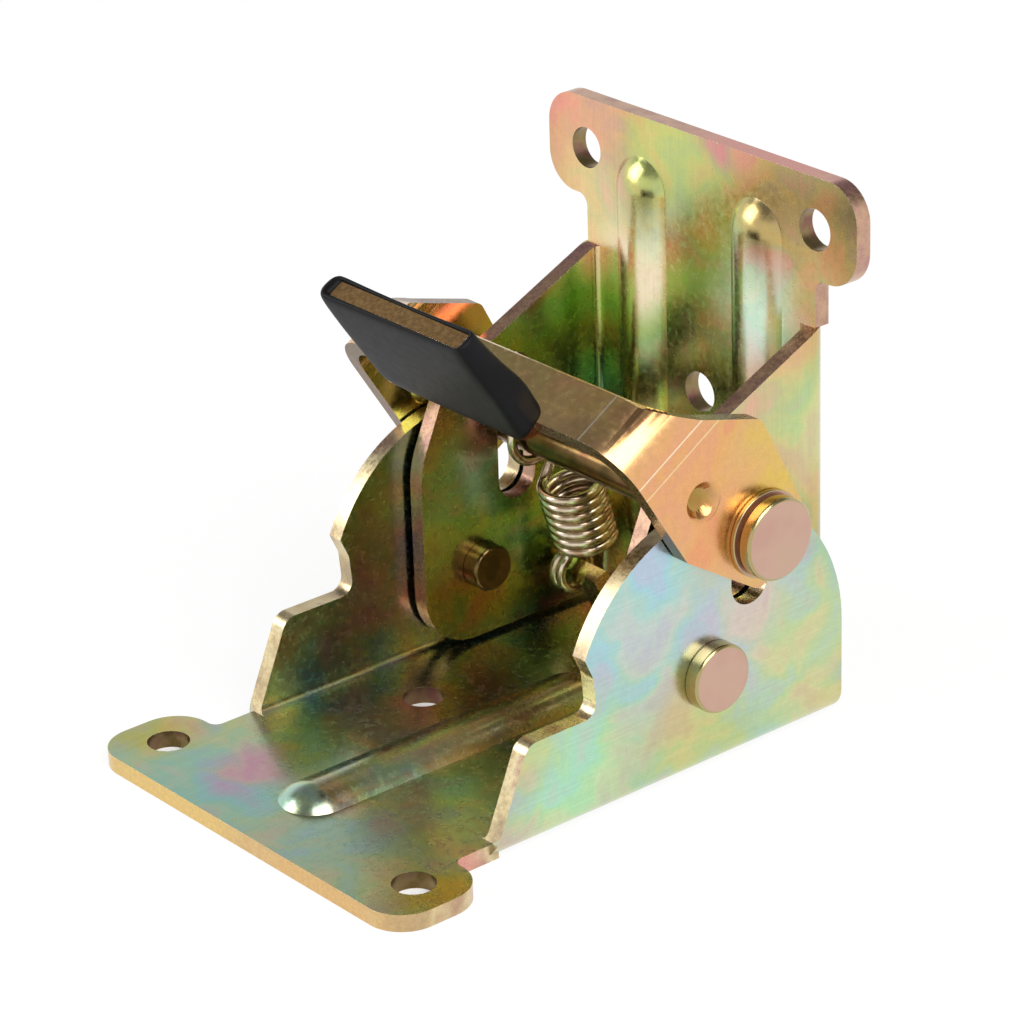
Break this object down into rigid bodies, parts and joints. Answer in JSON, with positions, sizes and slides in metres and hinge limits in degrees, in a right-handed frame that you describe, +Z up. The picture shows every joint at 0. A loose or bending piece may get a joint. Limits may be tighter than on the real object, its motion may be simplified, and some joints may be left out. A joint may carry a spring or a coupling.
{
  "type": "locking table leg hinge",
  "caption": "Folding table leg hinge of pressed sheet: two U brackets on pivot rivets, held upright by a sprung lever with a lock pin.",
  "frame": {"origin": "middle of the hinge's footprint, on the base plate's underside", "axes": "+X across the hinge, +Y from the screw tabs to the upright leg plate, +Z up along the open leg"},
  "size_m": [0.054, 0.069, 0.063],
  "materials": {
    "zinc_sheet": "yellow passivated zinc",
    "rivet_steel": "bright zinc",
    "grip_plastic": "dipped vinyl",
    "spring_wire": "drawn wire"
  },
  "bodies": {
    "base": {"base_bracket": "zinc_sheet", "pivot_rivet_right": "rivet_steel", "pivot_rivet_left": "rivet_steel"},
    "leg": {"leg_bracket": "zinc_sheet", "lever_spring": "spring_wire"},
    "pin": {"lock_pin": "rivet_steel"},
    "lever": {"lock_lever": "zinc_sheet", "lever_grip": "grip_plastic"}
  },
  "joints": [
    {"name": "leg_fold", "type": "hinge", "parent": "base", "child": "leg", "pos_m": [0, 0.0139, 0.0116], "axis": [1, 0, 0], "range_deg": [0, 90]},
    {"name": "pin_lift", "type": "slide", "parent": "leg", "child": "pin", "axis": [0, 0, 1], "range_m": [0, 0.006], "stiffness_N_per_m": 900, "springref_m": -0.006, "deforming": ["lever_spring"]},
    {"name": "lever_swing", "type": "hinge", "parent": "pin", "child": "lever", "pos_m": [0, 0.0196, 0.0274], "axis": [1, 0, 0], "range_deg": [-43, 0]}
  ],
  "couplings": [
    {"joint": "lever_swing", "follows": "leg_fold", "ratio": -0.47778}
  ]
}
